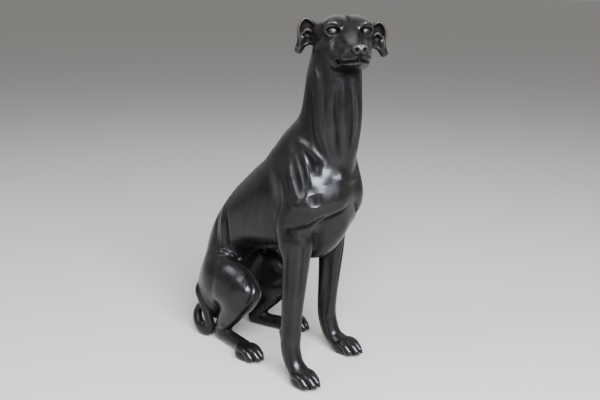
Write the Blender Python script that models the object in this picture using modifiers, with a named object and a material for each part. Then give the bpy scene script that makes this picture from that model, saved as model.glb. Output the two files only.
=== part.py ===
# Seated greyhound sculpture, one hollow casting, modelled as one solid.
# Metres, +Z up. The dog faces -Y and looks to its right, which is -X.
# The origin is the middle of the figure's own box, on the ground.
import math

import bmesh
import bpy
from mathutils import Matrix, Vector

# Driving size
HEIGHT = 0.607  # ground to the top of the skull

# The figure is set out on a grid 607 units tall, so its proportions are shares of its height
GRID_HEIGHT = 607.0
UNIT = HEIGHT / GRID_HEIGHT

# How the surface is made, in grid units where it is a length
RING_SIDES = 20
STEPS_PER_SPAN = 4
DOME_RINGS = 3
DOME_TURN = math.radians(82.0)  # how far round a limb's end the last ring lies
PAT_SIDES = (24, 16)
BODY_VOXEL = 4.0
FIGURE_VOXEL = 2.9
BODY_SMOOTHING = 14
FIGURE_SMOOTHING = 3
SOFTNESS = 0.5
KEPT_FACETS = 0.067  # share of the fine surface's facets that the casting keeps
GROUND_SHARE = 0.1  # the ground block's depth as a share of the figure's height

# The head is set out in its own frame: +X its left, -Y its nose, from a point between the eyes
HEAD_PLACE = (-19.0, -175.5, 580.0)
HEAD_TURN = math.radians(-42.0)

# A station is x, y, z, half width, half depth
TRUNK = (
    (0, 112, 50, 40, 32), (0, 110, 108, 40, 40), (0, 97, 170, 40, 49), (-2, 54, 231, 46, 54),
    (-5, -4, 266, 54, 69), (-9, -62, 300, 57, 80), (-12, -98, 336, 50, 70), (-13, -114, 374, 43, 58))
NECK = (
    (-12, -100, 345, 43, 79), (-13, -122, 385, 43, 69), (-14, -142, 425, 43, 58),
    (-14, -148, 465, 42, 52), (-14, -149, 510, 41, 46), (-14, -151, 548, 35, 38))
BRISKET = ((-10, -152, 318, 34, 35), (-10, -142, 266, 33, 35), (-9, -112, 222, 29, 27), (-6, -62, 224, 27, 22))

# Shoulder and upper arm, on one side of a line 8 units to the dog's right of the middle
SHOULDER_LINE = -8
SHOULDER = ((28, -78, 380, 19, 29), (42, -104, 340, 26, 38), (48, -132, 306, 29, 36))
UPPER_ARM = ((50, -134, 306, 30, 32), (54, -110, 268, 29, 36), (56, -102, 232, 26, 30))
LEFT_SHOULDER_SPREAD = 3

# The forelegs stand a little apart in their pose, the right one further forward
RIGHT_FORELEG = (
    (-64, -116, 236, 24, 28), (-68, -117, 205, 20.5, 25.5), (-73, -117, 160, 18, 22.5), (-79, -118, 118, 16, 20),
    (-84, -120, 82, 16, 19), (-88, -121, 56, 16.5, 18.5), (-91, -131, 30, 17, 17), (-92, -148, 17, 18, 14))
LEFT_FORELEG = (
    (46, -106, 230, 24, 28), (49, -105, 200, 20.5, 25.5), (52, -101, 162, 18, 22.5), (54, -96, 114, 16, 20),
    (56, -92, 72, 16, 19), (55, -97, 46, 16.5, 18.5), (54, -108, 24, 17, 17), (53, -128, 16, 18, 14))

# Paws: middle x, y of the toe tips, y of the heel, half width
PAWS = {
    "right_forepaw": (-93, -188, -124, 21), "left_forepaw": (53, -168, -104, 21),
    "right_hind_paw": (-80, -50, 8, 19), "left_hind_paw": (74, -34, 24, 19)}
PAW_HEIGHT = 11
PAW_THICKNESS = 15
PAW_INSET = 3  # the pad is this much narrower than the toes
PAW_SET_BACK = 4  # and ends this much behind their tips
TOE_ROOT_SHARE = 0.55  # how far from the heel to the tips the toes begin
TOES = ((-0.72, 7), (-0.26, 0), (0.26, 0), (0.72, 7))  # share of the half width, set-back from the tip
# Root, knuckle and tip of a toe: share of its spread, distance behind the tip, height, half width, half depth
TOE_ROOT = (0.8, 20, 6.5, 7)
TOE_KNUCKLE = (0.92, 17, 16, 6.8, 8)
TOE_TIP = (1.0, 8, 8, 6.2, 7)

# Haunch, thigh, shank and foot, on one side
HIND_LINE = -1
HAUNCH = ((36, 94, 114), (33, 43, 67))
HAUNCH_LEAN = 18
THIGH = ((52, 46, 119), (30, 64, 50))
THIGH_LEAN = 12
SHANK = ((60, -5, 121, 20, 24), (59, 25, 88, 20, 25), (53, 58, 49, 15, 20), (48, 76, 25, 12.5, 15.5))
HIND_FOOT = ((48, 80, 14.5, 11.5, 15.5), (55, 42, 12.5, 13.5, 13.5), (66, 4, 12, 15, 13.5))
HIND_FOOT_END = (38, 11.5, 18, 12.5)  # distance behind the toe tips, height, half width, half depth

TAIL = (
    (-6, 126, 84, 16, 16), (-20, 142, 82, 10.5, 11.5), (-31, 140, 72, 8.5, 9), (-38, 127, 56, 8, 8),
    (-44, 115, 38, 8, 8), (-50, 105, 20, 8, 8), (-54, 108, 8.5, 8, 8), (-54, 124, 7.5, 8, 8),
    (-51, 139, 14, 7.5, 7.5), (-47, 147, 30, 7, 7), (-42, 141, 47, 6.5, 6.5), (-38, 131, 55, 5.5, 5.5))

# The head, in its own frame
SKULL = ((0, 20, -8), (36, 46, 33))
MUZZLE = (
    (0, 12, -12, 30, 29), (0, -15, -19, 27, 26), (0, -42, -26, 22.5, 20.5), (0, -68, -29, 19.5, 17.5),
    (0, -88, -29.5, 17, 15))
JAW = (
    (0, 32, -46, 28, 20), (0, 0, -52, 24, 15), (0, -30, -53, 20.5, 11.5), (0, -60, -51.5, 17, 9),
    (0, -82, -49.5, 13, 6.5))
LIPS = ((0, 14, -40, 27, 17), (0, -20, -42, 23, 13), (0, -50, -42, 20, 9), (0, -78, -42, 16.5, 8))
NAPE = ((0, 36, -12, 33, 31), (-6, 36, -40, 36, 37), (-12, 32, -75, 39, 41))
NOSE = ((0, -97, -22.5), (11, 7, 8.5))
TEMPLE = ((14, 14, 13), (17, 28, 15))
EAR_ROOT = ((28, 36, 3), (15, 21, 13))
BROW = ((22, -9, 8), (13, 11, 7))
CHEEK = ((26, 2, -20), (9, 26, 10))
EYE = ((22.5, -11, 0), (9, 9, 9))
EAR = ((32, 42, 3, 13, 10), (45, 45, 4, 16, 8.5), (55, 46, -3, 18, 7), (62, 45, -19, 12, 5.5), (74, 42, -35, 4, 3.5))
EAR_SIDE = (1, 0, 1)  # the leaf's width runs outward and up
EAR_HOLLOW = ((54, 35.5, -5), (10, 7, 15))
EAR_HOLLOW_ROLL = 20

RESIN_COLOUR = (0.016, 0.012, 0.010, 1.0)
RESIN_ROUGHNESS = 0.3
RESIN_METALLIC = 0.35


def mirrored(station, side, line=0.0):
    return (line + side * station[0],) + tuple(station[1:])


def smooth_path(stations):
    """Stations along a Catmull-Rom curve through the given ones."""
    rows = [Vector(s) for s in stations]
    rows = [rows[0] * 2 - rows[1]] + rows + [rows[-1] * 2 - rows[-2]]
    path = []
    for a, b, c, d in zip(rows, rows[1:], rows[2:], rows[3:]):
        for step in range(STEPS_PER_SPAN):
            t = step / STEPS_PER_SPAN
            path.append((b * 2 + (c - a) * t + (a * 2 - b * 5 + c * 4 - d) * t ** 2
                         + (b * 3 - a - c * 3 + d) * t ** 3) / 2)
    path.append(rows[-2])
    return path


def with_domes(path):
    """The path with small rings added at both ends, so that a limb ends round."""
    def dome(end, before):
        outward = (end.xyz - before.xyz).normalized()
        reach = min(end[3], end[4])
        rings = []
        for k in range(1, DOME_RINGS + 1):
            angle = DOME_TURN * k / DOME_RINGS
            place = end.xyz + outward * reach * math.sin(angle)
            rings.append(Vector((*place, end[3] * math.cos(angle), end[4] * math.cos(angle))))
        return rings
    start = dome(path[0], path[1])
    finish = dome(path[-1], path[-2])
    return start[::-1] + path + finish


def limb(name, stations, side=(1, 0, 0)):
    """A loft with an elliptical section at each station."""
    path = with_domes(smooth_path(stations))
    mesh = bmesh.new()
    rings = []
    for i, station in enumerate(path):
        along = (path[min(i + 1, len(path) - 1)].xyz - path[max(i - 1, 0)].xyz).normalized()
        across = (Vector(side) - along * along.dot(Vector(side))).normalized()
        out = along.cross(across)
        ring = []
        for k in range(RING_SIDES):
            turn = math.tau * k / RING_SIDES
            reach = across * station[3] * math.cos(turn) + out * station[4] * math.sin(turn)
            ring.append(mesh.verts.new((station.xyz + reach) * UNIT))
        rings.append(ring)
    for lower, upper in zip(rings, rings[1:]):
        for k in range(RING_SIDES):
            n = (k + 1) % RING_SIDES
            mesh.faces.new((lower[k], lower[n], upper[n], upper[k]))
    mesh.faces.new(rings[0][::-1])
    mesh.faces.new(rings[-1])
    return object_from(name, mesh)


def pat(name, centre, radii, pitch=0.0, roll=0.0):
    """An ellipsoid, like a pat of clay pressed on."""
    mesh = bmesh.new()
    bmesh.ops.create_uvsphere(mesh, u_segments=PAT_SIDES[0], v_segments=PAT_SIDES[1], radius=1.0)
    turn = Matrix.Rotation(math.radians(roll), 4, "Y") @ Matrix.Rotation(math.radians(pitch), 4, "X")
    size = Matrix.Diagonal((*(Vector(radii) * UNIT), 1.0))
    bmesh.ops.transform(mesh, matrix=Matrix.Translation(Vector(centre) * UNIT) @ turn @ size, verts=mesh.verts)
    return object_from(name, mesh)


def object_from(name, mesh):
    bmesh.ops.recalc_face_normals(mesh, faces=mesh.faces)
    data = bpy.data.meshes.new(name)
    mesh.to_mesh(data)
    mesh.free()
    made = bpy.data.objects.new(name, data)
    bpy.context.scene.collection.objects.link(made)
    return made


def joined(name, pieces):
    """One object that holds the faces of all the pieces."""
    mesh = bmesh.new()
    for piece in pieces:
        start = len(mesh.verts)
        mesh.from_mesh(piece.data)
        mesh.verts.ensure_lookup_table()
        bmesh.ops.transform(mesh, matrix=piece.matrix_world, verts=mesh.verts[start:])
        bpy.data.objects.remove(piece)
    return object_from(name, mesh)


def settled(piece):
    """The piece with its modifiers applied."""
    bpy.context.view_layer.update()
    seen = piece.evaluated_get(bpy.context.evaluated_depsgraph_get())
    data = bpy.data.meshes.new_from_object(seen)
    piece.modifiers.clear()
    piece.data = data
    return piece


def blended(piece, voxel, smoothing):
    """Fuses the piece's overlapping forms into one skin and softens the joins."""
    fuse = piece.modifiers.new("fuse", "REMESH")
    fuse.mode = "VOXEL"
    fuse.voxel_size = voxel * UNIT
    soften = piece.modifiers.new("soften", "SMOOTH")
    soften.factor = SOFTNESS
    soften.iterations = smoothing
    return settled(piece)


def trunk_forms():
    forms = [limb("trunk", TRUNK), limb("neck", NECK), limb("brisket", BRISKET)]
    for side, name in ((-1, "right"), (1, "left")):
        spread = LEFT_SHOULDER_SPREAD if side > 0 else 0
        line = SHOULDER_LINE + side * spread
        forms.append(limb(name + "_shoulder", [mirrored(s, side, line) for s in SHOULDER]))
        forms.append(limb(name + "_upper_arm", [mirrored(s, side, line) for s in UPPER_ARM]))
        forms.append(pat(name + "_haunch", mirrored(HAUNCH[0], side, HIND_LINE), HAUNCH[1], pitch=HAUNCH_LEAN))
        forms.append(pat(name + "_thigh", mirrored(THIGH[0], side, HIND_LINE), THIGH[1], pitch=THIGH_LEAN))
    return forms


def paw_forms(name):
    """A pad with four toes, the middle two a little ahead."""
    x, tip, heel, half = PAWS[name]
    middle, length = (tip + heel) / 2, heel - tip
    forms = [pat(name, (x, middle + PAW_SET_BACK, PAW_HEIGHT), (half - PAW_INSET, length / 2 - PAW_SET_BACK, PAW_THICKNESS))]
    root = heel - TOE_ROOT_SHARE * length
    for spread, back in TOES:
        reach = spread * half
        forms.append(limb(name + "_toe", (
            (x + reach * TOE_ROOT[0], root) + TOE_ROOT[1:],
            (x + reach * TOE_KNUCKLE[0], tip + TOE_KNUCKLE[1] + back) + TOE_KNUCKLE[2:],
            (x + reach * TOE_TIP[0], tip + TOE_TIP[1] + back) + TOE_TIP[2:])))
    return forms


def leg_forms():
    forms = [limb("right_foreleg", RIGHT_FORELEG), limb("left_foreleg", LEFT_FORELEG)]
    for side, name in ((-1, "right"), (1, "left")):
        forms.append(limb(name + "_shank", [mirrored(s, side, HIND_LINE) for s in SHANK]))
        x, tip, _, _ = PAWS[name + "_hind_paw"]
        foot = [mirrored(s, side, HIND_LINE) for s in HIND_FOOT]
        foot.append((x, tip + HIND_FOOT_END[0]) + HIND_FOOT_END[1:])
        forms.append(limb(name + "_hind_foot", foot))
    for name in PAWS:
        forms += paw_forms(name)
    return forms


def ear_form(side, name):
    """A flat leaf that folds down to its tip, hollowed in front."""
    leaf = limb(name, [mirrored(s, side) for s in EAR], side=mirrored(EAR_SIDE, side))
    hollow = pat(name + "_hollow", mirrored(EAR_HOLLOW[0], side), EAR_HOLLOW[1], roll=-side * EAR_HOLLOW_ROLL)
    cut = leaf.modifiers.new("hollow", "BOOLEAN")
    cut.solver = "EXACT"
    cut.operation = "DIFFERENCE"
    cut.object = hollow
    settled(leaf)
    bpy.data.objects.remove(hollow)
    return leaf


def head_forms():
    forms = [
        pat("skull", *SKULL), limb("muzzle", MUZZLE), limb("jaw", JAW), limb("lips", LIPS),
        pat("nose", *NOSE)]
    for side, name in ((-1, "right"), (1, "left")):
        for part, (centre, radii) in (
                ("temple", TEMPLE), ("ear_root", EAR_ROOT), ("brow", BROW), ("cheek", CHEEK), ("eye", EYE)):
            forms.append(pat(name + "_" + part, mirrored(centre, side), radii))
        forms.append(ear_form(side, name + "_ear"))
    return place_head(forms)


def place_head(forms):
    frame = Matrix.Translation(Vector(HEAD_PLACE) * UNIT) @ Matrix.Rotation(HEAD_TURN, 4, "Z")
    for form in forms:
        form.matrix_world = frame
    bpy.context.view_layer.update()
    return forms


def resin_material():
    material = bpy.data.materials.new("bronze_effect_resin")
    material.use_nodes = True
    shader = material.node_tree.nodes["Principled BSDF"]
    shader.inputs["Base Color"].default_value = RESIN_COLOUR
    shader.inputs["Roughness"].default_value = RESIN_ROUGHNESS
    shader.inputs["Metallic"].default_value = RESIN_METALLIC
    return material


def ground_cutter(collection):
    """A block below the ground, which leaves flat soles where it cuts."""
    depth = GROUND_SHARE * HEIGHT
    bpy.ops.mesh.primitive_cube_add(size=1.0, location=(0, 0, -depth / 2))
    block = bpy.context.active_object
    block.name = "ground_cutter"
    block.scale = (2 * HEIGHT, 2 * HEIGHT, depth)
    block.display_type = "WIRE"
    block.hide_render = True
    for home in list(block.users_collection):
        home.objects.unlink(block)
    collection.objects.link(block)
    return block


def centred(piece):
    """Moves the mesh so that the middle of its box, on the ground, is the origin."""
    corners = [Vector(c) for c in piece.bound_box]
    low = Vector([min(c[i] for c in corners) for i in range(3)])
    high = Vector([max(c[i] for c in corners) for i in range(3)])
    piece.data.transform(Matrix.Translation((-(low.x + high.x) / 2, -(low.y + high.y) / 2, 0)))


def main():
    for old in list(bpy.data.objects):
        bpy.data.objects.remove(old, do_unlink=True)
    sculpture = bpy.data.collections.new("seated_greyhound")
    cutters = bpy.data.collections.new("cutters")
    for collection in (sculpture, cutters):
        bpy.context.scene.collection.children.link(collection)

    body = blended(joined("body", trunk_forms() + place_head([limb("nape", NAPE)])), BODY_VOXEL, BODY_SMOOTHING)
    figure = joined("dog_figure", [body, limb("tail", TAIL)] + leg_forms() + head_forms())
    blended(figure, FIGURE_VOXEL, FIGURE_SMOOTHING)

    thin = figure.modifiers.new("facets", "DECIMATE")
    thin.ratio = KEPT_FACETS
    thin.use_collapse_triangulate = True
    soles = figure.modifiers.new("soles", "BOOLEAN")
    soles.solver = "EXACT"
    soles.operation = "DIFFERENCE"
    soles.object = ground_cutter(cutters)
    settled(figure)
    centred(figure)

    bpy.context.scene.collection.objects.unlink(figure)
    sculpture.objects.link(figure)
    figure.data.shade_smooth()
    figure.data.materials.clear()
    figure.data.materials.append(resin_material())


main()
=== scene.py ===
# Seated greyhound, bronze effect cast resin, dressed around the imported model.
# The figure is modelled like clay: soft forms are pressed together in a distance field,
# carved with strokes, and skinned as one mesh. Its tables are in millimetres, with the
# dog facing -Y and looking to its right, which is -X.
import math

import bpy
import numpy as np
import openvdb
from mathutils import Matrix, Vector


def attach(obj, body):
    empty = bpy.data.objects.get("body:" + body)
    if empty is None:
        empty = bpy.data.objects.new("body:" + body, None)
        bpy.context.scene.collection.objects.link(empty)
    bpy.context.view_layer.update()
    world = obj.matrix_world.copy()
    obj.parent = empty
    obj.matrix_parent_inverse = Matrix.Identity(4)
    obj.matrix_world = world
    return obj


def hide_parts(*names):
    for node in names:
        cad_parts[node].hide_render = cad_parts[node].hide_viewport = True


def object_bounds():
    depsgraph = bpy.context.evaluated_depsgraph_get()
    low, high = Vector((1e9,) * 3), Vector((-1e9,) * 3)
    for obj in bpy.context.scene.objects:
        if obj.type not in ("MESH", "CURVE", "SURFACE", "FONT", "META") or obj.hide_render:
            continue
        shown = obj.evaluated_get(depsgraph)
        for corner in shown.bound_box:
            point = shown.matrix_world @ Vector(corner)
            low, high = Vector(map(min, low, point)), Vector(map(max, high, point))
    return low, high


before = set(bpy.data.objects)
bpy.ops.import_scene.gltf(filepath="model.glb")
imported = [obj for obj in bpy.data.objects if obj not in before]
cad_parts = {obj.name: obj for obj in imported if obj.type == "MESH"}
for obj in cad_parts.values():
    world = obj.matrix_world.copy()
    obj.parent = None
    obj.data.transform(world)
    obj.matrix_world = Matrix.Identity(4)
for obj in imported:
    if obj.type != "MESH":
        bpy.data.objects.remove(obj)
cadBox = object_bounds()

mm = 0.001


# Clay: every form is a distance in mm, negative inside

clay = {
    "cell": 1.6,             # mm between the points of the fine grid
    "blockCells": 5,         # fine cells along a block's edge
    "edgeCells": 4,          # fine cells left empty round the figure
    "skinBand": 1.1,         # block widths from the skin within which a block gets fine cells
    "nearby": 12.0,          # mm from the figure that the field is good for
    "farAway": 60.0,         # mm, the field's value beyond that
    "batch": 60000,          # points worked on at a time
    "rows": 8,               # rows of a limb or stroke between two stations
    "thickRows": 24,         # the same on a thick limb
    "evenRows": 12,          # rows to each side that a thick limb is averaged over
    "fade": (0.12, 0.76),    # a stroke swells and fades like a half wave: where it starts, and how much of it
    "strokeReach": 1.3,      # widths from its path at which a stroke ends
    "facets": 190000,        # triangles kept on the finished skin
    "probe": 0.3,            # mm, step that finds the way out of the clay
    "settleSteps": 3,        # how often the skin is pulled back onto the field
    "settleMost": 1.5,       # mm, longest pull
    "settleDamping": 0.05,   # keeps a pull short where the field is flat
    "strokeSteps": 6,        # how often a stroke's points are pulled onto the smooth figure
    "strokeMost": 12.0,      # mm, longest pull on them
    "bendReach": 3.0,        # mm to each side over which the skin's bend is felt
    "proudBend": 0.5,        # 1/mm, bend of the sharpest edge
    # the bend and shelter below find the furrows and hollows that the resin darkens with painted shade
    "sunkBend": 0.15,        # 1/mm, bend of a tight furrow
    "shelterReaches": (5.0, 12.0, 24.0, 36.0),   # mm out from the skin where other clay is looked for
    "shelterSpare": 4.0,     # mm that the field is good for past them
    "shelterStart": 0.3,     # shelter that doesn't count yet
    "shelterSpan": 0.5,      # shelter from there to full shade
}


def splineRows(rows, perSpan=clay["rows"]):
    rows = np.asarray(rows, float)   # Catmull-Rom through the given stations
    ends = np.vstack([2 * rows[0] - rows[1], rows, 2 * rows[-1] - rows[-2]])
    path = []
    for a, b, c, d in zip(ends, ends[1:], ends[2:], ends[3:]):
        for t in np.arange(perSpan) / perSpan:
            path.append(b + 0.5 * t * (c - a + t * (2 * a - 5 * b + 4 * c - d + t * (3 * b - a - 3 * c + d))))
    return np.array(path + [rows[-1]])


def evened(rows, reach):
    for _ in range(2):               # running means, which keep rings off the skin of a thick limb
        ends = np.vstack([2 * rows[0] - rows[reach:0:-1], rows, 2 * rows[-1] - rows[-2:-reach - 2:-1]])
        rows = sum(ends[i:i + len(rows)] for i in range(2 * reach + 1)) / (2 * reach + 1)
    return rows


def ovalDistance(q, radii, fullness=2.0):
    share = np.abs(q) / radii        # fullness over 2 squares the oval off
    level = (share ** fullness).sum(1) ** (1 / fullness) + 1e-9
    slope = np.sqrt(((share ** (fullness - 1) / radii) ** 2).sum(1)) * level ** (1 - fullness) + 1e-9
    return (level - 1) / slope


def turned(yaw=0.0, pitch=0.0):
    turn = Matrix.Rotation(math.radians(yaw), 3, "Z") @ Matrix.Rotation(-math.radians(pitch), 3, "X")
    return np.array(turn).T          # rows are the turned axes


def makeForm(reach, points, size, mode, soft, place):
    points = np.asarray(points, float).reshape(-1, 3)
    corners = np.array([points.min(0) - size, points.max(0) + size])
    if place is not None:
        origin, axes = place
        corners = np.array([[x, y, z] for x in corners[:, 0] for y in corners[:, 1] for z in corners[:, 2]])
        corners = corners @ axes + origin
        localReach = reach

        def reach(p):
            return localReach((p - origin) @ axes.T)
    return {"reach": reach, "low": corners.min(0), "high": corners.max(0), "mode": mode, "soft": soft}


def pat(centre, radii, turn=None, soft=8.0, mode="add", fullness=2.0, place=None):
    centre = np.asarray(centre, float)
    radii = np.ones(3) * radii
    axes = np.eye(3) if turn is None else turn

    def reach(p):
        return ovalDistance((p - centre) @ axes.T, radii, fullness)
    return makeForm(reach, centre, radii.max(), mode, soft, place)


def limb(stations, side=(1, 0, 0), soft=8.0, mode="add", place=None, thick=False):
    # a station is x, y, z, half width, half depth
    rows = splineRows(stations, clay["thickRows"] if thick else clay["rows"])
    if thick:
        rows = evened(rows, clay["evenRows"])
    at, half = rows[:, :3], rows[:, 3:5]
    along = np.gradient(at, axis=0)
    along /= np.linalg.norm(along, axis=1)[:, None]
    across = np.asarray(side, float) - (along @ np.asarray(side, float))[:, None] * along
    across /= np.linalg.norm(across, axis=1)[:, None]
    out = np.cross(along, across)
    last = len(at) - 1

    def reach(p):
        nearest = ((p ** 2).sum(1)[:, None] - 2 * p @ at.T + (at ** 2).sum(1)).argmin(1)
        a, b = np.clip(nearest - 1, 0, last), np.clip(nearest + 1, 0, last)
        chord = at[b] - at[a]
        spot = np.clip(a + ((p - at[a]) * chord).sum(1) / (chord ** 2).sum(1) * (b - a), 0, last - 1e-6)
        j = spot.astype(int)
        share = (spot - j)[:, None]

        def mixed(values):
            return values[j] * (1 - share) + values[j + 1] * share
        gap = p - mixed(at)
        size = mixed(half)
        local = np.stack([(gap * mixed(v)).sum(1) for v in (across, out, along)], 1)
        return ovalDistance(local, np.stack([size[:, 0], size[:, 1], size.min(1)], 1))
    return makeForm(reach, at, half.max(), mode, soft, place)


def stroke(path, width, height):
    at = splineRows(path)            # raises the clay along a path, or sinks it where height is negative
    last = len(at) - 1
    start, along = clay["fade"]

    def reach(p):
        away = ((p ** 2).sum(1)[:, None] - 2 * p @ at.T + (at ** 2).sum(1))
        nearest = away.argmin(1)
        away = away.min(1)
        spot = nearest.astype(float)
        for step in (-1, 1):
            beside = np.clip(nearest + step, 0, last)
            leg = at[beside] - at[nearest]
            share = np.clip(((p - at[nearest]) * leg).sum(1) / ((leg ** 2).sum(1) + 1e-9), 0, 1)
            gap = ((p - at[nearest] - leg * share[:, None]) ** 2).sum(1)
            spot = np.where(gap < away, nearest + step * share, spot)
            away = np.minimum(away, gap)
        lift = height * np.exp(-2 * np.maximum(away, 0) / width ** 2)
        return lift * np.sin(math.pi * (start + along * spot / last))
    return makeForm(reach, at, clay["strokeReach"] * width, "stroke", 0.0, None)


def pressed(d, form, p):
    value = form["reach"](p)
    if form["mode"] == "stroke":
        return d - value
    sign = 1 if form["mode"] == "add" else -1
    a, soft = sign * d, form["soft"]
    blend = np.clip(soft - np.abs(a - value), 0, None)
    return sign * (np.minimum(a, value) - blend * blend / (4 * soft + 1e-9))


def fieldAt(forms, p, nearby=clay["nearby"]):
    order = np.argsort(p[:, 2])      # sorted by height, so that each form looks at its own layer only
    x, y, z = np.ascontiguousarray(p[order].T)
    d = np.full(len(p), clay["farAway"])
    for form in forms:
        margin = 0 if form["mode"] == "stroke" else nearby + form["soft"]
        low, high = form["low"] - margin, form["high"] + margin
        a, b = np.searchsorted(z, (low[2], high[2]))
        inside = (x[a:b] > low[0]) & (x[a:b] < high[0]) & (y[a:b] > low[1]) & (y[a:b] < high[1])
        near = a + np.flatnonzero(inside)
        for part in np.array_split(near, len(near) // clay["batch"] + 1):
            if len(part):
                d[part] = pressed(d[part], form, np.stack([x[part], y[part], z[part]], 1))
    value = np.empty(len(p))
    value[order] = np.maximum(d, -z)  # the ground cuts the soles flat
    return value


def slopeAt(forms, p):
    d = fieldAt(forms, p)
    return d, np.stack([fieldAt(forms, p + clay["probe"] * a) - d for a in np.eye(3)], 1) / clay["probe"]


def settledOn(forms, p, steps, most):
    for _ in range(steps):           # Newton steps onto the surface
        d, g = slopeAt(forms, p)
        move = -d[:, None] * g / ((g ** 2).sum(1)[:, None] + clay["settleDamping"])
        length = np.linalg.norm(move, axis=1)[:, None] + 1e-9
        p = p + move * np.minimum(1, most / length)
    return p


def bendAt(forms, p):
    reach = clay["bendReach"]
    around = sum(fieldAt(forms, p + reach * a) for a in np.vstack([np.eye(3), -np.eye(3)]))
    return around / reach ** 2       # the sum of both curvatures, over 0 where the clay stands proud


# How closely other clay closes in on the skin, an ambient occlusion estimate; the resin turns it into painted
# shade.
def shelterAt(forms, p):
    g = slopeAt(forms, p)[1]
    out = g / (np.linalg.norm(g, axis=1)[:, None] + 1e-9)
    most = np.zeros(len(p))          # 0 in the open, 1 where other clay closes in on the skin
    for reach in clay["shelterReaches"]:
        found = fieldAt(forms, p + reach * out, reach + clay["shelterSpare"])
        most = np.maximum(most, 1 - found / reach)
    return (most - clay["shelterStart"]) / clay["shelterSpan"]


def skinned(forms):
    cell, count = clay["cell"], clay["blockCells"]
    edge = clay["edgeCells"] * cell
    low = np.min([f["low"] for f in forms], 0) - edge
    low[2] = -edge
    high = np.max([f["high"] for f in forms], 0) + edge
    blocks = np.ceil((high - low) / (cell * count)).astype(int)
    size = blocks * count
    index = np.stack(np.meshgrid(*[np.arange(n) for n in blocks], indexing="ij"), -1).reshape(-1, 3)
    middle = low + (index + 0.5) * cell * count
    coarse = fieldAt(forms, middle)
    grid = np.where(coarse < 0, -clay["farAway"], clay["farAway"]).reshape(blocks)
    grid = grid.repeat(count, 0).repeat(count, 1).repeat(count, 2)
    nearSkin = np.abs(coarse) < clay["skinBand"] * cell * count
    steps = np.stack(np.meshgrid(*[np.arange(count)] * 3, indexing="ij"), -1).reshape(-1, 3)
    cells = (index[nearSkin][:, None] * count + steps).reshape(-1, 3)
    grid[tuple(cells.T)] = fieldAt(forms, low + cells * cell)
    volume = openvdb.FloatGrid(clay["farAway"])
    volume.copyFromArray(grid)
    points, triangles, quads = volume.convertToPolygons(0.0, 0.0)
    points = np.array(points, float) * cell + low
    faces = [quads[:, [0, 1, 2]], quads[:, [0, 2, 3]]]
    if len(triangles):
        faces.append(triangles)
    print("skin: grid", size, "fine points", len(cells), "vertices", len(points))
    return points, np.vstack(faces)[:, ::-1]


# Trunk, neck, shoulders and haunches

trunk = {
    "back": (
        (0, 112, 50, 40, 32), (0, 110, 108, 40, 40), (0, 97, 170, 40, 49), (-2, 54, 231, 46, 54),
        (-5, -8, 259, 54, 77), (-9, -62, 300, 57, 80), (-12, -98, 336, 50, 70), (-13, -114, 374, 43, 58)),
    "neck": (
        (-12, -100, 345, 42, 78), (-13, -122, 385, 42, 68), (-14, -142, 425, 42, 57),
        (-14, -148, 465, 42, 52), (-14, -149, 510, 41, 46), (-14, -151, 548, 35, 38)),
    "brisket": (
        (-10, -152, 318, 32, 34), (-10, -142, 266, 32, 34), (-9, -112, 222, 28, 26), (-6, -62, 224, 26, 22)),
    "leftBreast": (
        (19, -150, 380, 13, 14), (18, -156, 364, 17, 17), (17, -161, 340, 21, 21), (16, -164, 315, 23, 23),
        (16.5, -160, 295, 22, 22), (18, -150, 276, 20, 20), (19, -140, 262, 17, 17)),
    "rightBreast": ((-37.5, -151.5, 327), (36, 29, 36)),
    "breastTurn": (-43, 18),    # degrees, its flat face looks ahead, out and up
    "breastFullness": 3.0,
    "shoulderLine": -8,         # mm, x of the shoulders' middle
    "leftSpread": 3,            # mm, the left shoulder stands this much further out
    "shoulder": ((28, -78, 380, 18, 28), (42, -104, 340, 24, 36), (48, -132, 306, 27, 34)),
    "rightUpperArm": ((50, -134, 306, 28, 30), (54, -110, 268, 27, 34), (56, -108, 232, 24, 28)),
    "leftUpperArm": ((50, -134, 306, 28, 30), (54, -110, 268, 27, 34), (53, -96, 232, 24, 28)),
    "thigh": ((52, 46, 119), (29, 63, 49), -12),       # middle, radii, degrees that its top leans back
    "haunch": ((36, 94, 110), (32, 40, 69), -18),
    "hindLine": -1,             # mm, x that the hind legs are mirrored over
    "flankKnobs": (((40, 55, 170), 4.6), ((34, 42, 164), 5.6)),
    # mm over which each form melts into the clay before it
    "soft": {"back": 14, "neck": 26, "shoulder": 24, "arm": 20, "breast": 22, "leftBreast": 16,
             "haunch": 30, "thigh": 16, "knob": 2.5},
}


def mirrored(rows, side, line=0.0):
    return [(line + side * row[0],) + tuple(row[1:]) for row in rows]


def trunkForms():
    soft = trunk["soft"]
    forms = [limb(trunk[name], soft=soft[name], thick=True) for name in ("back", "neck")]
    for side, arm in ((-1, "rightUpperArm"), (1, "leftUpperArm")):
        line = trunk["shoulderLine"] + (trunk["leftSpread"] if side > 0 else 0)
        forms.append(limb(mirrored(trunk["shoulder"], side, line), soft=soft["shoulder"]))
        forms.append(limb(mirrored(trunk[arm], side, line), soft=soft["arm"]))
    flatFace = turned(*trunk["breastTurn"])
    forms.append(pat(*trunk["rightBreast"], flatFace, soft["breast"], fullness=trunk["breastFullness"]))
    forms.append(limb(trunk["brisket"], soft=soft["breast"]))
    forms.append(limb(trunk["leftBreast"], soft=soft["leftBreast"]))
    return forms


def haunchForms(side):
    forms, soft = [], trunk["soft"]
    for name in ("haunch", "thigh"):
        centre, radii, lean = trunk[name]
        centre = mirrored([centre], side, trunk["hindLine"])[0]
        forms.append(pat(centre, radii, turn=turned(pitch=lean), soft=soft[name]))
    for centre, radius in trunk["flankKnobs"]:
        forms.append(pat(mirrored([centre], side, trunk["hindLine"])[0], radius, soft=soft["knob"]))
    return forms


# Legs and paws

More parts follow.
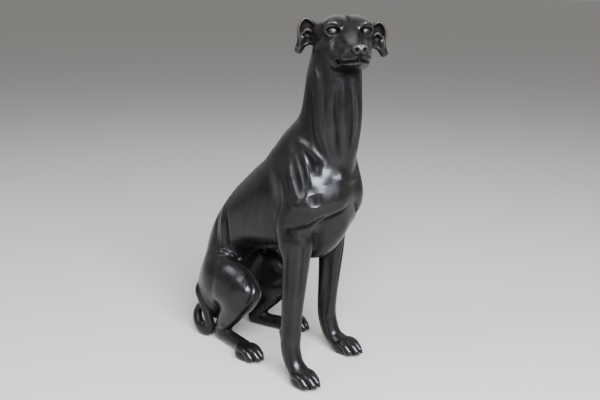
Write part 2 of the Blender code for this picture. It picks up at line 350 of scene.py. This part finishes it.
legs = {
    "rightFore": (
        (-64, -116, 236, 23, 27), (-68, -117, 205, 20, 25), (-73, -117, 160, 17.5, 22),
        (-79, -118, 118, 15.5, 19.5), (-84, -120, 82, 15.5, 18.5), (-88, -123, 56, 15.5, 17.5),
        (-91, -134, 31, 16, 16), (-92, -150, 18, 17, 14)),
    "leftFore": (
        (46, -106, 230, 23, 27), (49, -105, 200, 20, 25), (52, -101, 162, 17.5, 22),
        (54, -96, 114, 15.5, 19.5), (56, -93, 72, 15.5, 18), (55, -99, 46, 15.5, 17.5),
        (54, -111, 25, 16, 16), (53, -131, 17, 17, 14)),
    "shank": ((60, -5, 121, 20, 24), (59, 25, 88, 20, 25), (53, 58, 49, 15, 20), (48, 76, 25, 12, 15)),
    "hindFoot": ((48, 80, 14, 11, 15), (55, 42, 12, 13, 13), (66, 4, 11.5, 15, 13)),
    "instep": (38, 11, 18, 12),      # the hind foot ends this far behind the toe tips: height, half sizes
    "soft": {"leg": 12, "foot": 8},
}

paws = {
    # middle x, y of the toe tips, y of the heel, half width
    "rightFore": (-95.5, -187, -132, 20.5),
    "leftFore": (53, -172, -110, 20.5),
    "rightHind": (-80, -50, 8, 19),
    "leftHind": (74, -34, 24, 19),
    "toes": ((-0.74, 9), (-0.26, 0), (0.26, 0), (0.74, 9)),   # share of the half width, set back
    "pad": (2, 5, 15.5),        # mm inside the half width, inside the half length, half height
    "padHeight": 10,
    # share of the toe's place across, mm behind its tip, height, half width, half depth
    "toe": ((0.84, 32, 20, 5.0, 5.5), (0.92, 23, 20.5, 5.6, 6.2), (0.97, 15, 17.5, 6.0, 7.2),
            (1.00, 8, 9.5, 5.8, 8.2)),
    "claw": ((1.00, 7, 13, 2.4, 3.0), (1.01, 2, 10.5, 2.3, 2.8), (1.02, 0.5, 7, 1.9, 2.2)),
    "soft": {"pad": 8, "toe": 1.4, "claw": 2},
}


def pawForms(name):
    x, tip, heel, half = paws[name]
    soft = paws["soft"]
    sideways, lengthways, tall = paws["pad"]
    padCentre = (x, (tip + heel) / 2 + lengthways, paws["padHeight"])
    padSize = (half - sideways, (heel - tip) / 2 - lengthways, tall)
    forms = [pat(padCentre, padSize, soft=soft["pad"])]
    for share, back in paws["toes"]:
        across = share * half
        for part in ("toe", "claw"):
            rows = [(x + spread * across, tip + back + behind, *rest) for spread, behind, *rest in paws[part]]
            forms.append(limb(rows, soft=soft[part]))
    return forms


def legForms():
    forms, soft = [], legs["soft"]
    for name in ("rightFore", "leftFore"):
        forms.append(limb(legs[name], soft=soft["leg"]))
        forms += pawForms(name)
    for side, name in ((-1, "rightHind"), (1, "leftHind")):
        forms += haunchForms(side)
        forms.append(limb(mirrored(legs["shank"], side, trunk["hindLine"]), soft=soft["leg"]))
        x, tip = paws[name][:2]
        behind, *instep = legs["instep"]
        foot = mirrored(legs["hindFoot"], side, trunk["hindLine"]) + [(x, tip + behind, *instep)]
        forms.append(limb(foot, soft=soft["foot"]))
        forms += pawForms(name)
    return forms


# Tail, curled into a ring on the dog's right

tail = {
    "curl": (
        (-30, 124, 98, 10, 10), (-46, 131, 97, 8.5, 8.5), (-56, 127, 88, 8.5, 8.5), (-58, 119, 73, 8, 8),
        (-57, 111, 55, 7.5, 8), (-56, 104, 37, 8, 9), (-56, 102, 22, 8.5, 11), (-57, 110, 14, 9, 13.5),
        (-56, 123, 14, 9, 13.5), (-53, 135, 21, 8.5, 11), (-50, 141, 34, 8, 9), (-47, 139, 47, 7.5, 7.5),
        (-47, 131, 57, 6, 6)),
    "soft": 5,
}


def tailForms():
    return [limb(tail["curl"], soft=tail["soft"])]


# Head, set out in its own frame: +X its left, -Y its nose, from a point between the eyes

head = {
    "place": (-18.2, -176.3, 580.0),
    "turn": -44.2,         # degrees, below 0 towards the dog's right
    "skull": ((0, 20, -8), (35, 45, 32)),
    "muzzle": (
        (0, 12, -12, 29, 28), (0, -15, -18, 25.5, 25), (0, -42, -23, 21, 18.5),
        (0, -68, -25, 17, 14.5), (0, -88, -24, 13.5, 12)),
    "jaw": (
        (0, 36, -50, 31, 22), (0, 8, -49, 29.5, 17), (0, -20, -45, 25, 10.5), (0, -48, -42, 19, 6.5),
        (0, -72, -41, 15.5, 5), (0, -87, -40.5, 11, 4.3)),
    "flew": (
        (16, 10, -30, 12, 14), (15, -20, -32, 12, 10.5), (13.5, -50, -31.5, 10, 9.5),
        (11.5, -75, -31, 10, 9), (7, -90, -30, 8.5, 7)),
    "lowerLip": ((17.5, -52, -42, 2.4, 2.4), (15.5, -72, -41, 2.6, 2.4), (10.5, -86, -39.8, 2.8, 2.4),
                 (3, -93, -38.8, 2.8, 2.4), (-4, -93, -38.8, 2.8, 2.4)),
    # a path that is drawn on, its width, and its height, which is negative where it is sunk
    "mouthLine": (((22, -42, -41), (20.5, -62, -40.5), (18.5, -80, -39.5), (12.5, -92, -37.5),
                   (5, -97, -36), (-2, -98, -35.5)), 2.6, -3.0),
    "mouthCorner": ((22.5, -42, -40.5), (7, 4.4, 3.4)),
    "nape": ((0, 36, -12, 32, 30), (-6, 36, -40, 35, 36), (-12, 32, -75, 38, 40)),
    "nose": ((0, -95.5, -20.3), (12.4, 8.8, 8.8)),
    "noseFullness": 2.5,
    "noseTop": (((-11, -97, -17), (-6, -101, -13.5), (0, -102, -12.8), (6, -101, -13.5),
                 (11, -97, -17)), 2.6, 1.6),
    "nostril": ((6.2, -103.5, -19), (2.9, 5, 2.5)),
    "nostrilSlit": (((6.5, -103, -21), (10, -99, -22.8), (12, -94, -22)), 2.2, -2.2),
    "philtrum": (((0, -103, -24), (0, -101, -27), (0, -99, -30)), 1.8, -1.4),
    "noseRim": (((-11.5, -97, -23), (-8, -101, -26.5), (0, -103, -28.5), (8, -101, -26.5),
                 (11.5, -97, -23)), 2.4, -1.6),
    "temple": ((17, 16, 9), (22, 32, 17)),
    "forehead": (((0, -24, 4), (0, -8, 15), (0, 12, 23.5), (0, 34, 23.5)), 8, -1.5),
    "earRoot": ((34, 36, 4), (17, 18, 12)),
    "cheek": ((26, 6, -21), (9, 26, 11)),
    "jowl": ((20, -8, -40), (11, 30, 15.5)),
    "soft": {"skull": 12, "muzzle": 10, "jaw": 3, "flew": 5, "nose": 2.5, "temple": 12, "earRoot": 12,
             "cheek": 22, "jowl": 14, "nape": 14, "mouthCorner": 2.5, "nostril": 1.5, "lowerLip": 2},
}

eye = {
    "centre": (25.5, -10.5, 2.6),
    "flesh": 10.5,         # mm round the eye, before the almond is cut into it
    "opening": (12.5, 10, 7.0),
    "ball": (6.8, 3.0, 6.8),
    "ahead": {"flesh": 0.5, "opening": 10, "ball": 4.6},   # mm from the eye's centre to their middles
    "yaw": 12.0,           # degrees that the eye looks out to the side
    "lift": 12.0,          # degrees that it looks up
    # out to the side, ahead, up, half width, half depth, all from the eye's centre
    "upperLid": ((-13, 2.0, 0, 0.9, 1.1), (-6, 7.4, 5.2, 1.0, 1.3), (0, 8.8, 6.6, 1.1, 1.4),
                 (6, 7.0, 5.4, 1.0, 1.3), (13, 0.5, 0.5, 0.9, 1.1)),
    "lowerLid": ((-12.5, 2.0, -1.5, 0.8, 1.0), (-5, 7.0, -6.0, 0.9, 1.1), (1, 7.6, -6.8, 0.9, 1.1),
                 (7, 5.6, -5.2, 0.9, 1.1), (13, 0.0, -0.5, 0.8, 1.0)),
    "brow": ((-11, 2.0, 1.5, 1.5, 1.9), (-9, 5.2, 7.2, 2.3, 2.8), (-4.5, 7.8, 10.8, 3.0, 3.6),
             (2, 7.4, 11.0, 3.1, 3.7), (7.5, 4.8, 8.2, 2.6, 3.1), (12, 0, 3.2, 1.8, 2.2)),
    "pouch": ((-4, 5.5, -10, 1.8, 2.2), (1, 6.0, -12, 2.4, 2.8), (6, 3.5, -10.5, 1.8, 2.2)),
    "soft": {"flesh": 7, "brow": 5, "pouch": 5, "opening": 1.0, "ball": 0.5, "upperLid": 1.5,
             "lowerLid": 1.5},
}

ear = {
    "leftDrop": 6.0,       # mm, the left ear hangs this much lower
    "root": ((34, 42, -4, 15, 10), (44, 45, -6, 16, 9), (54, 46, -6, 14, 7)),
    "leaf": ((58, 46, 1), (15, 6.0, 21)),
    "tip": ((62, 46, -12, 10, 5), (67.5, 46, -23, 7.5, 4.5), (71, 46, -30, 6.5, 4.5)),
    "rim": ((44, 42, 8, 2.2, 2.6), (51, 41.5, 17, 2.2, 2.8), (59, 41, 20.5, 2.3, 2.8),
            (66, 41, 17, 2.3, 2.8), (70.5, 41.5, 8, 2.3, 2.8), (71, 42, -3, 2.2, 2.8),
            (69, 42, -13, 2.1, 2.6), (69.5, 42.5, -19, 1.4, 1.8)),
    "cup": ((57.5, 37.5, 5), (12.5, 9.5, 15)),
    "channel": ((56, 39, -11, 7, 5), (60, 39, -16, 4.5, 4.2), (64, 39, -21, 2.2, 2.6)),
    "fold": ((47, 43, -4, 2.4, 3), (52, 41, 1, 2.6, 3.6), (58.5, 41, 3, 2.6, 3.6), (64.5, 43, -3, 2.2, 3)),
    "soft": {"root": 8, "leaf": 5, "tip": 5, "cup": 1.5, "channel": 1.5, "rim": 2.5, "fold": 2},
}


def headPlace():
    return np.array(head["place"]), turned(yaw=head["turn"])


def eyeForms(side, place):
    soft = eye["soft"]
    centre = np.array(mirrored([eye["centre"]], side)[0], float)
    look = turned(side * eye["yaw"], eye["lift"])      # its -Y row looks out of the eye

    def ridge(name):
        rows = [(*(centre + side * out * look[0] - ahead * look[1] + (0, 0, up)), wide, deep)
                for out, ahead, up, wide, deep in eye[name]]
        return limb(rows, side=(0, 0, 1), soft=soft[name], place=place)

    def middle(name):
        return centre - eye["ahead"][name] * look[1]
    return [
        pat(middle("flesh"), eye["flesh"], soft=soft["flesh"], place=place),
        ridge("brow"), ridge("pouch"),
        pat(middle("opening"), eye["opening"], turn=look, soft=soft["opening"], mode="cut", place=place),
        pat(middle("ball"), eye["ball"], turn=look, soft=soft["ball"], place=place),
        ridge("upperLid"), ridge("lowerLid")]


def earForms(side, place):
    if side > 0:
        place = (place[0] - (0, 0, ear["leftDrop"]), place[1])

    def oval(name, mode="add"):
        centre, radii = ear[name]
        return pat(mirrored([centre], side)[0], radii, soft=ear["soft"][name], mode=mode, place=place)

    def strip(name, across, mode="add"):
        return limb(mirrored(ear[name], side), across, ear["soft"][name], mode, place)
    outwards, upwards = (side, 0, 0), (0, 0, 1)
    return [
        strip("root", upwards), oval("leaf"), strip("tip", outwards), oval("cup", "cut"),
        strip("channel", outwards, "cut"), strip("rim", outwards), strip("fold", upwards)]


def headForms():
    place, soft = headPlace(), head["soft"]

    def oval(name, side=1, mode="add", fullness=2.0):
        centre, radii = head[name]
        return pat(mirrored([centre], side)[0], radii, None, soft[name], mode, fullness, place)

    def strip(name, side=1):
        return limb(mirrored(head[name], side), soft=soft[name], place=place)
    forms = [oval("skull"), strip("muzzle"), strip("jaw"), strip("flew", -1), strip("flew")]
    forms.append(oval("nose", fullness=head["noseFullness"]))
    for side in (-1, 1):
        forms += [oval(name, side) for name in ("temple", "earRoot", "cheek", "jowl")]
        forms += earForms(side, place)
    forms.append(strip("nape"))
    for side in (-1, 1):
        forms += eyeForms(side, place)
        forms += [oval(name, side, "cut") for name in ("mouthCorner", "nostril")]
        forms.append(strip("lowerLip", side))
    return forms


def headStrokes():
    origin, axes = headPlace()
    drawn = []
    for name in ("mouthLine", "nostrilSlit"):
        path, width, height = head[name]
        drawn += [(mirrored(path, side), width, height) for side in (-1, 1)]
    drawn += [head[name] for name in ("noseTop", "noseRim", "philtrum", "forehead")]
    return [(np.array(path, float) @ axes + origin, width, height) for path, width, height in drawn]


# Carving: ridges and furrows that are drawn on the smooth figure

carving = {
    # Each is a path, its width, and its height, which is negative where it is sunk. Neck, chest, ribs
    # and hind are drawn on the dog's right and mirrored over the x that stands above them.
    "neckLine": -14,
    "neck": {
        "cord": (((-53, -139, 523), (-56, -150, 504), (-56, -152, 474), (-55, -158, 429), (-50, -165, 400),
                  (-45, -169, 382)), 6, 3.2),
        "cordFurrow": (((-53, -127, 499), (-54, -133, 479), (-56, -141, 419), (-52, -154, 392)), 8, -2.0),
        "jugular": (((-48, -177, 500), (-49, -176, 463), (-47, -179, 432), (-40, -180, 391)), 10, -4.0),
        "throatFurrow": (((-32, -192, 508), (-30, -196, 480), (-28, -197, 445), (-26, -196, 405)), 11, -5.0),
        "windpipe": (((-22, -196, 508), (-20, -198, 475), (-19, -200, 445), (-20, -196, 411),
                      (-17, -190, 384)), 6, 2.0)},
    "chestLine": -12,
    "chest": {
        "bladeEdge": (((-54, -107, 408), (-57, -126, 401), (-56, -142, 391), (-49, -161, 375)), 9, 3.2),
        "furrowA": (((-57, -122, 401), (-58, -133, 386), (-58, -141, 370), (-57, -147, 355)), 8, -2.6),
        "ridgeA": (((-58, -119, 396), (-61, -130, 380), (-64, -139, 362), (-67, -146, 345)), 11, 2.6),
        "furrowB": (((-61, -115, 388), (-65, -130, 366), (-69, -139, 349), (-74, -146, 335)), 8, -2.2),
        "ridgeB": (((-64, -114, 376), (-68, -128, 358), (-74, -140, 338)), 10, 1.8),
        "furrowC": (((-65, -107, 379), (-72, -123, 352), (-82, -138, 329)), 9, -1.8),
        "ridgeC": (((-71, -104, 360), (-77, -114, 344), (-83, -125, 329)), 10, 1.6),
        "furrowD": (((-70, -93, 366), (-77, -103, 343), (-85, -117, 320)), 9, -2.0),
        "breast": (((-51, -153, 374), (-50, -160, 357), (-53, -162, 340)), 13, 2.0),
        "breastFurrow": (((-43, -168, 374), (-39, -172, 362), (-36, -172, 352)), 9, -1.0),
        "breastTop": (((-36, -172, 348), (-25, -180, 346), (-13, -183, 345)), 8, 1.5),
        "dimple": (((-72, -156, 327), (-74, -160, 318), (-74, -162, 309)), 14, -6.5),
        "armPoint": (((-88, -137, 318), (-90, -136, 308), (-90, -134, 300)), 13, 2.6),
        "armFold": (((-89, -108, 262), (-86, -130, 267), (-74, -147, 273), (-61, -163, 291)), 8, -2.8),
        "breastFold": (((-54, -158, 278), (-38, -172, 292), (-25, -182, 306)), 9, -2.5),
        "elbowPit": (((-88, -117, 266), (-89, -112, 250)), 8, -2.5)},
    "ribs": {
        "spine": (((-6, 19, 328), (-6, 51, 302), (-6, 82, 282)), 24, 1.4),
        "ribA": (((-71, -88, 358), (-73, -84, 316), (-78, -82, 276)), 11, -0.8),
        "ribB": (((-66, -66, 342), (-67, -56, 303), (-61, -46, 256)), 11, -0.7),
        "ribC": (((-63, -42, 317), (-63, -29, 283), (-56, -18, 247)), 11, -0.7),
        "ribD": (((-61, -15, 295), (-58, 1, 262), (-50, 15, 230)), 11, -0.6)},
    "hindLine": -1,
    "hind": {
        "hipBand": (((-34, 82, 262), (-43, 76, 236), (-45, 75, 207), (-47, 74, 180)), 9, 3.0),
        "hipFurrow": (((-40, 60, 248), (-47, 60, 222), (-50, 60, 190)), 8, -2.0),
        "hipBack": (((-28, 100, 244), (-38, 96, 214), (-42, 94, 184)), 8, -1.6),
        "knobA": (((-53, 80, 174), (-49, 71, 175), (-47, 62, 174)), 5, 4.0),
        "thighFurrow": (((-49, 5, 152), (-62, -12, 141), (-73, -21, 126), (-76, -14, 106)), 5, -2.0),
        "thighRidge": (((-58, 9, 151), (-68, -4, 141), (-77, -9, 124), (-80, -2, 104)), 6, 1.6),
        "thighBack": (((-60, 60, 160), (-72, 70, 130), (-68, 80, 100)), 14, -2.0),
        "hock": (((-63, 66, 34), (-66, 52, 38)), 7, 2.0)},
    "rightFore": {
        "ridge": (((-82, -134, 250), (-84, -134, 212), (-86, -132, 172), (-90, -131, 129),
                   (-95, -133, 86)), 6, 1.5),
        "backFurrow": (((-88, -119, 246), (-90, -115, 210), (-91, -115, 170), (-95, -116, 127)), 7, -1.1),
        "frontFurrow": (((-75, -138, 256), (-77, -140, 224), (-79, -138, 181), (-83, -137, 128)), 6, -0.9),
        "wristPad": (((-92, -101, 88), (-94, -101, 76)), 7, 4.0)},
    "leftFore": {
        "ridge": (((39, -121, 230), (39, -120, 176), (43, -113, 129), (46, -107, 77)), 6, 1.4),
        "outerRidge": (((62, -120, 230), (64, -118, 180), (66, -112, 129), (67, -105, 80)), 6, 1.4),
        "frontFurrow": (((50, -130, 235), (51, -124, 180), (53, -118, 129)), 5, -1.4),
        "wristPad": (((58, -74, 76), (57, -76, 64)), 7, 4.0)},
}


def carvingStrokes(base):
    drawn = headStrokes()
    lines = {"neck": "neckLine", "chest": "chestLine", "ribs": "chestLine", "hind": "hindLine"}
    for part, line in lines.items():
        for path, width, height in carving[part].values():
            drawn.append((path, width, height))
            drawn.append(([(2 * carving[line] - x, y, z) for x, y, z in path], width, height))
    drawn += list(carving["rightFore"].values()) + list(carving["leftFore"].values())
    drawnAt = np.vstack([path for path, width, height in drawn]).astype(float)
    onSkin = settledOn(base, drawnAt, clay["strokeSteps"], clay["strokeMost"])
    ends = np.cumsum([len(path) for path, width, height in drawn])[:-1]
    return [stroke(path, width, height) for path, (_, width, height) in zip(np.split(onSkin, ends), drawn)]


# The one casting

def bronzeEffectFigure():
    forms = trunkForms() + headForms() + legForms() + tailForms()
    print("clay:", len(forms), "forms")
    forms += carvingStrokes(forms)
    print("clay:", len(forms), "forms and strokes")
    points, faces = skinned(forms)
    mesh = bpy.data.meshes.new("dogFigure")
    mesh.from_pydata(points.tolist(), [], faces.tolist())
    figure = bpy.data.objects.new("dogFigure", mesh)
    bpy.context.scene.collection.objects.link(figure)
    if len(faces) > clay["facets"]:
        thin = figure.modifiers.new("facets", "DECIMATE")
        thin.ratio = clay["facets"] / len(faces)
        seen = figure.evaluated_get(bpy.context.evaluated_depsgraph_get())
        figure.data = bpy.data.meshes.new_from_object(seen)
        figure.modifiers.clear()
    mesh = figure.data
    points = np.empty(len(mesh.vertices) * 3, np.float32)
    mesh.vertices.foreach_get("co", points)
    points = settledOn(forms, points.reshape(-1, 3).astype(float), clay["settleSteps"], clay["settleMost"])
    points[:, 2] = np.maximum(points[:, 2], 0)
    bend = bendAt(forms, points)
    # Painted shade: 1 in tight furrows and in hollows that other clay closes in on, where the resin dims its
    # reflections
    sunkShade = np.maximum(-bend / clay["sunkBend"], shelterAt(forms, points))
    for name, value in (("proud", bend / clay["proudBend"]), ("sunkShade", sunkShade)):
        value = np.clip(value, 0, 1).astype(np.float32)
        mesh.attributes.new(name, "FLOAT", "POINT").data.foreach_set("value", value)
    low, high = np.array(cadBox[0]) / mm, np.array(cadBox[1]) / mm
    middle = (points.min(0) + points.max(0)) / 2
    points[:, :2] += ((low + high) / 2 - middle)[:2]
    mesh.vertices.foreach_set("co", (points * mm).astype(np.float32).ravel())
    mesh.update()
    mesh.shade_smooth()
    print("figure:", len(mesh.polygons), "facets, mm box", points.min(0).round(1), points.max(0).round(1))
    return figure


def linearColour(code):
    channels = [int(code[i:i + 2], 16) / 255 for i in (1, 3, 5)]
    return [c / 12.92 if c <= 0.04045 else ((c + 0.055) / 1.055) ** 2.4 for c in channels] + [1.0]


resin = {
    "shade": "#080707",        # the dark wax that lies over the bronze powder
    "warm": "#120f0d",         # where the wax is thin
    "rubbed": "#3f3831",       # edges and toes that cloth has polished
    "metallic": 0.15,          # bronze powder in the top coat
    "waxIor": 1.45,
    "roughness": (0.20, 0.32),   # of the streaks that shine most, and least
    "hollowDull": 0.4,         # added to the roughness in hollows, where no cloth reaches
    "waxShine": 0.38,          # specular level out in the open
    "paintedHollowShade": -0.34,       # added to it in furrows and sheltered hollows: painted shade that dims the reflections there
    "edge": (0.5, 1.0),        # shares of the sharpest edge's bend where rubbing starts and is full
    "patchSize": 38.0,         # mm between thin and thick wax
    "patchDetail": 4.0,
    "patch": (0.35, 0.7),      # noise where the wax is thickest, and thinnest
    "streakSize": 9.0,         # mm, brush streaks, drawn twice as coarse as real ones
    "streakDetail": 3.0,
    "streakScale": (1.0, 1.0, 0.25),   # they run up the figure, four times as long as wide
    "streak": (0.3, 0.7),      # noise where a streak shines most, and least
    "grainSize": 1.6,          # mm, skin of the casting
    "grainDetail": 2.0,
    "grainDepth": 0.05,        # mm
}


def addNode(tree, kind, links=(), **settings):
    node = tree.nodes.new(kind)
    for name, value in settings.items():
        if hasattr(node, name):
            setattr(node, name, value)
        else:
            node.inputs[name.replace("_", " ")].default_value = value
    for source, output, target in links:
        tree.links.new(source.outputs[output], node.inputs[target])
    return node


# Polyester resin filled with bronze powder, cast in a rubber mould, waxed black and buffed:
# a near-black brown with soft window glare, warm, paler edges, and painted shade that dims the glare in its
# hollows.
def bronzeEffectResin():
    material = bpy.data.materials.new("bronzeEffectResin")
    material.use_nodes = True
    tree = material.node_tree
    shader = tree.nodes["Principled BSDF"]
    shader.inputs["Metallic"].default_value = resin["metallic"]
    shader.inputs["IOR"].default_value = resin["waxIor"]

    def noise(name, source, output):
        return addNode(tree, "ShaderNodeTexNoise", [(source, output, "Vector")],
                       Scale=1 / (resin[name + "Size"] * mm), Detail=resin[name + "Detail"])

    def ranged(name, source, **ends):
        low, high = resin[name]
        return addNode(tree, "ShaderNodeMapRange", [(source, "Fac", "Value")],
                       From_Min=low, From_Max=high, **ends)
    place = addNode(tree, "ShaderNodeTexCoord")
    patch = noise("patch", place, "Object")
    stretch = addNode(tree, "ShaderNodeMapping", [(place, "Object", "Vector")], Scale=resin["streakScale"])
    streak = noise("streak", stretch, "Vector")
    grain = noise("grain", place, "Object")
    proud = addNode(tree, "ShaderNodeAttribute", attribute_name="proud")
    sunkShade = addNode(tree, "ShaderNodeAttribute", attribute_name="sunkShade")
    wax = ranged("patch", patch)
    base = addNode(tree, "ShaderNodeMix", [(wax, "Result", "Factor")], data_type="RGBA")
    base.inputs[6].default_value = linearColour(resin["shade"])
    base.inputs[7].default_value = linearColour(resin["warm"])
    edge = ranged("edge", proud)
    rubbing = addNode(tree, "ShaderNodeMath", [(edge, "Result", 0), (streak, "Fac", 1)], operation="MULTIPLY")
    colour = addNode(tree, "ShaderNodeMix", [(rubbing, "Value", "Factor"), (base, 2, 6)], data_type="RGBA")
    colour.inputs[7].default_value = linearColour(resin["rubbed"])
    tree.links.new(colour.outputs[2], shader.inputs["Base Color"])
    gloss = ranged("streak", streak, To_Min=resin["roughness"][0], To_Max=resin["roughness"][1])
    dull = addNode(tree, "ShaderNodeMath", [(sunkShade, "Fac", 0), (gloss, "Result", 2)], operation="MULTIPLY_ADD")
    dull.inputs[1].default_value = resin["hollowDull"]
    tree.links.new(dull.outputs[0], shader.inputs["Roughness"])
    # Painted shade: the specular level drops in furrows and sheltered hollows, so they read darker
    dark = addNode(tree, "ShaderNodeMath", [(sunkShade, "Fac", 0)], operation="MULTIPLY_ADD")
    dark.inputs[1].default_value = resin["paintedHollowShade"]
    dark.inputs[2].default_value = resin["waxShine"]
    tree.links.new(dark.outputs[0], shader.inputs["Specular IOR Level"])
    bump = addNode(tree, "ShaderNodeBump", [(grain, "Fac", "Height")],
                   Strength=1.0, Distance=resin["grainDepth"] * mm)
    tree.links.new(bump.outputs[0], shader.inputs["Normal"])
    print("resin: bronze effect under black wax")
    return material


figure = bronzeEffectFigure()
figure.data.materials.append(bronzeEffectResin())
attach(figure, "root")
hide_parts("dog_figure")


# Studio

studio = {
    "floorSize": 900.0,         # metres, so that no edge shows
    "floorColour": "#a09b93",
    "floorRoughness": 0.8,
    "cameraPlace": (-1.0, -0.809, 0.634),   # metres
    "cameraHeading": -51.98,    # degrees from +Y
    "cameraDown": 15.0,         # degrees
    "cameraRoll": 0.5,
    "lens": 45.6,               # mm
    "sensorWidth": 36.0,        # mm
    "worldColour": "#cfd2d6",
    "worldStrength": 0.85,
    "lightAim": (0, 0, 0.3),    # metres, the point that the softboxes face
    # degrees from the dog's front towards its left, degrees up, metres away, width and height, watts
    "windowBox": (-36, 35, 2.2, (1.7, 1.05), 360, "#e8f0ff"),
    "sideBox": (-118, 40, 2.2, (1.1, 1.1), 40, "#eef2ff"),
    "topBox": (130, 50, 2.2, (2.2, 2.2), 12, "#fffaf2"),
}


def paleFloor():
    bpy.ops.mesh.primitive_plane_add(size=studio["floorSize"])
    floor = bpy.context.active_object
    floor.name = "studioFloor"
    material = bpy.data.materials.new("paleStudioFloor")
    material.use_nodes = True
    shader = material.node_tree.nodes["Principled BSDF"]
    shader.inputs["Base Color"].default_value = linearColour(studio["floorColour"])
    shader.inputs["Roughness"].default_value = studio["floorRoughness"]
    floor.data.materials.append(material)


def studioCamera():
    data = bpy.data.cameras.new("studioCamera")
    camera = bpy.data.objects.new("studioCamera", data)
    bpy.context.scene.collection.objects.link(camera)
    data.sensor_width = studio["sensorWidth"]
    data.lens = studio["lens"]
    turn = Matrix.Rotation(math.radians(studio["cameraHeading"]), 4, "Z")
    turn = turn @ Matrix.Rotation(math.radians(90 - studio["cameraDown"]), 4, "X")
    turn = turn @ Matrix.Rotation(math.radians(studio["cameraRoll"]), 4, "Z")
    camera.matrix_world = Matrix.Translation(studio["cameraPlace"]) @ turn
    bpy.context.scene.camera = camera


def softbox(name, azimuth, elevation, distance, size, power, colour):
    data = bpy.data.lights.new(name, "AREA")
    data.shape = "RECTANGLE"
    data.size, data.size_y = size
    data.energy = power
    data.color = linearColour(colour)[:3]
    light = bpy.data.objects.new(name, data)
    a, e = math.radians(azimuth), math.radians(elevation)
    towards = Vector((math.sin(a) * math.cos(e), -math.cos(a) * math.cos(e), math.sin(e)))
    light.location = Vector(studio["lightAim"]) + towards * distance
    light.rotation_euler = towards.to_track_quat("Z", "Y").to_euler()
    bpy.context.scene.collection.objects.link(light)


def studioLight():
    world = bpy.data.worlds.new("studioWorld")
    world.use_nodes = True
    background = world.node_tree.nodes["Background"]
    background.inputs["Color"].default_value = linearColour(studio["worldColour"])
    background.inputs["Strength"].default_value = studio["worldStrength"]
    bpy.context.scene.world = world
    for name in ("windowBox", "sideBox", "topBox"):
        softbox(name, *studio[name])


paleFloor()
studioCamera()
studioLight()
print("studio: pale floor, camera and three softboxes")
